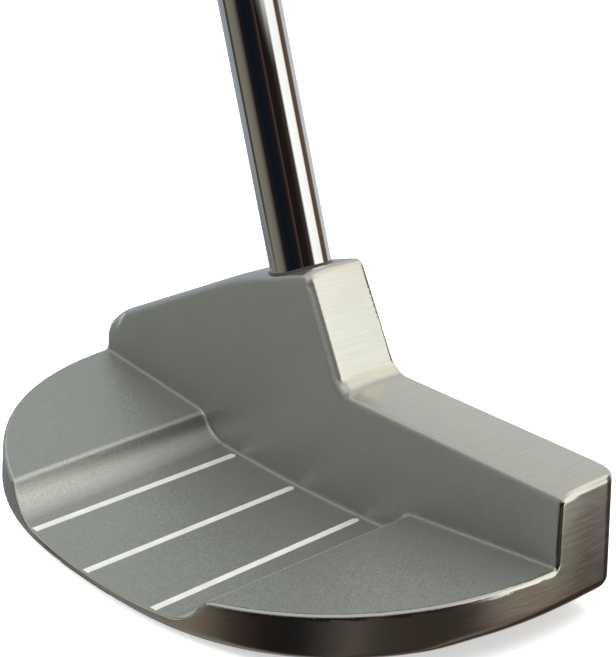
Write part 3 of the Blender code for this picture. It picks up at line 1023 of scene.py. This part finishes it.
def add_grip(rubber):
    """The pistol grip, with a panel of fine cross ribs around the back and sides and a plain flat."""
    rings = []
    rows = int(GRIP_LENGTH / (RIB_PITCH / RIB_ROWS))
    for row in range(rows + 1):
        at = GRIP_LENGTH * row / rows
        flat, back, wide = grip_size(at)
        ends = min(at - RIB_MARGIN, GRIP_LENGTH - RIB_MARGIN - at) / RIB_FADE
        wave = max(0.0, math.cos(2.0 * math.pi * at / RIB_PITCH)) * min(max(ends, 0.0), 1.0)

        def dip(turn, wave=wave):
            return RIB_DEPTH * wave * blend_between(PANEL_EDGE - math.cos(turn), 0.0, PANEL_EASE)

        rings.extend(grip_ring(flat, back, wide, GRIP_START + at, GRIP_SEGMENTS, dip))
    bore = [(GRIP_BORE, GRIP_END), (GRIP_BORE, GRIP_START)]
    rings.extend(turned_points(bore, GRIP_SEGMENTS))
    faces = ring_faces(rows + 1 + len(bore), GRIP_SEGMENTS)
    piece = add_piece("grip_fine", placed(rings, ALONG_SHAFT), faces, rubber, ["grip"])
    piece.data.set_sharp_from_angle(angle=SHARP_ANGLE)


def add_cap(rubber):
    """The grip's end cap: a domed disc with a round edge and a vent hole."""
    sizes = [size - CAP_INSET for size in GRIP_STATIONS[-1][1:]]
    bottom = CAP_END - CAP_THICKNESS
    outlines = [(sizes, bottom)]
    for degrees in CAP_EDGE_TURNS:
        turn = math.radians(degrees)
        inset = CAP_EDGE * (1.0 - math.cos(turn))
        height = CAP_END - CAP_EDGE - CAP_DOME + CAP_EDGE * math.sin(turn)
        outlines.append(([size - inset for size in sizes], height))
    for share in CAP_DOME_SHARES:
        inner = [VENT_RADIUS + (size - VENT_RADIUS - CAP_EDGE) * share for size in sizes]
        outlines.append((inner, CAP_END - CAP_DOME * share))
    rings = []
    for size, height in outlines:
        rings += grip_ring(*size, height, GRIP_SEGMENTS)
    lip_top, lip_foot = VENT_LIP
    vent = [
        (VENT_RADIUS * VENT_FLARE, CAP_END - lip_top),
        (VENT_RADIUS, CAP_END - lip_foot),
        (VENT_RADIUS, bottom),
    ]
    rings += turned_points(vent, GRIP_SEGMENTS)
    faces = ring_faces(len(outlines) + len(vent), GRIP_SEGMENTS)
    piece = add_piece("grip_cap_fine", placed(rings, ALONG_SHAFT), faces, rubber, ["grip_cap"])
    piece.data.set_sharp_from_angle(angle=SHARP_ANGLE)


# Studio


def add_camera():
    camera = bpy.data.objects.new("camera", bpy.data.cameras.new("camera"))
    bpy.context.collection.objects.link(camera)
    turn = Matrix.Rotation(math.radians(CAMERA_TURN), 4, "Z")
    dip = Matrix.Rotation(math.radians(90.0 - CAMERA_DIP), 4, "X")
    roll = Matrix.Rotation(math.radians(CAMERA_ROLL), 4, "Z")
    camera.matrix_world = Matrix.Translation(CAMERA_PLACE) @ turn @ dip @ roll
    camera.data.sensor_width = CAMERA_SENSOR
    camera.data.lens = CAMERA_LENS
    camera.data.clip_start = CAMERA_NEAR
    bpy.context.scene.camera = camera


def add_floor(material):
    mesh = bpy.data.meshes.new("floor")
    corners = [(x * FLOOR_REACH, y * FLOOR_REACH, 0.0) for x, y in ((-1, -1), (1, -1), (1, 1), (-1, 1))]
    mesh.from_pydata(corners, [], [(0, 1, 2, 3)])
    mesh.materials.append(material)
    floor = bpy.data.objects.new("floor", mesh)
    floor.location.z = -FLOOR_DROP
    floor.visible_glossy = False
    bpy.context.collection.objects.link(floor)


def add_soft_light(name, place, size, power):
    """A wide soft light for matt surfaces, aimed at the head. Glossy reflections show the world only."""
    data = bpy.data.lights.new(name, "AREA")
    data.shape = "DISK"
    data.size = size
    data.energy = power
    light = bpy.data.objects.new(name, data)
    light.location = place
    light.rotation_euler = Vector(place).to_track_quat("Z", "Y").to_euler()
    light.visible_glossy = False
    bpy.context.collection.objects.link(light)


def add_band(nodes, stops, share):
    """One band of the studio: its colour by the angle round from the camera, as a share of a turn."""
    ramp = nodes.node("ShaderNodeValToRGB")
    elements = ramp.color_ramp.elements
    elements.remove(elements[1])
    elements[0].position = 0.0
    elements[0].color = (*stops[0][1], 1.0)
    for angle, color in stops[1:]:
        element = elements.new((angle + 180.0) / 360.0)
        element.color = (*color, 1.0)
    nodes.plug(ramp.inputs, [share])
    return ramp.outputs["Color"]


def add_world():
    """A white backdrop for the camera, and a banded studio for everything that reflects."""
    world = bpy.data.worlds.new("studio")
    bpy.context.scene.world = world
    world.use_nodes = True
    world.node_tree.nodes.clear()
    nodes = Nodes(world.node_tree)
    place = nodes.node("ShaderNodeTexCoord").outputs["Generated"]
    across, ahead, up = nodes.parts(place)

    def above(elevations):
        """0 below the first elevation, 1 above the second, and eased between them."""
        low, high = (math.sin(math.radians(elevation)) for elevation in elevations)
        return nodes.between(up, low, high, easing="SMOOTHSTEP")

    camera_azimuth = math.radians(CAMERA_TURN - 90.0)
    turned = nodes.math("SUBTRACT", nodes.math("ARCTAN2", ahead, across), camera_azimuth)
    share = nodes.math("FRACT", nodes.math("ADD", nodes.math("DIVIDE", turned, 2.0 * math.pi), 0.5))
    low, middle, high = (add_band(nodes, stops, share) for stops in (LOW_BAND, MIDDLE_BAND, HIGH_BAND))
    studio = nodes.blend(above(LOW_TO_MIDDLE), low, middle)
    studio = nodes.blend(above(MIDDLE_TO_HIGH), studio, high)
    studio = nodes.blend(above(HIGH_TO_CEILING), studio, CEILING_COLOR)

    lamp_azimuth = camera_azimuth + math.radians(LAMP_TURN)
    lamp_elevation = math.radians(LAMP_ELEVATION)
    lamp_direction = (
        math.cos(lamp_elevation) * math.cos(lamp_azimuth),
        math.cos(lamp_elevation) * math.sin(lamp_azimuth),
        math.sin(lamp_elevation),
    )
    toward_lamp = nodes.vector_math("DOT_PRODUCT", place, lamp_direction).outputs["Value"]
    even, faded = (math.cos(math.radians(angle)) for angle in LAMP_SPREAD)
    lit = nodes.between(toward_lamp, faded, even, easing="SMOOTHSTEP")
    studio = nodes.blend(lit, studio, LAMP_COLOR)

    seen = nodes.node("ShaderNodeLightPath").outputs["Is Camera Ray"]
    backdrop = nodes.blend(seen, studio, BACKDROP_COLOR)
    background = nodes.feed(nodes.node("ShaderNodeBackground"), Color=backdrop)
    output = nodes.node("ShaderNodeOutputWorld")
    nodes.feed(output, Surface=background.outputs[0])


def main():
    bpy.context.scene.view_settings.view_transform = "Standard"
    add_camera()
    add_world()
    for light in SOFT_LIGHTS:
        add_soft_light(*light)
    add_floor(make_floor_paper())

    add_head_and_coat(make_casting_steel(), make_recess_coat())
    enamel = make_line_enamel()
    for side, x in LINE_X.items():
        add_sight_line(side, x, enamel)
    add_shaft(make_shaft_chrome())
    add_bond_ring(make_bond_epoxy())
    add_grip(make_rubber("grip_rubber_matt", dark=0.016, light=0.030, grain=0.35 * MM))
    add_cap(make_rubber("cap_rubber_matt", dark=0.010, light=0.020, grain=0.25 * MM))
    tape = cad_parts["grip_tape"]
    tape.data.materials.clear()
    tape.data.materials.append(make_tape_paper())


main()
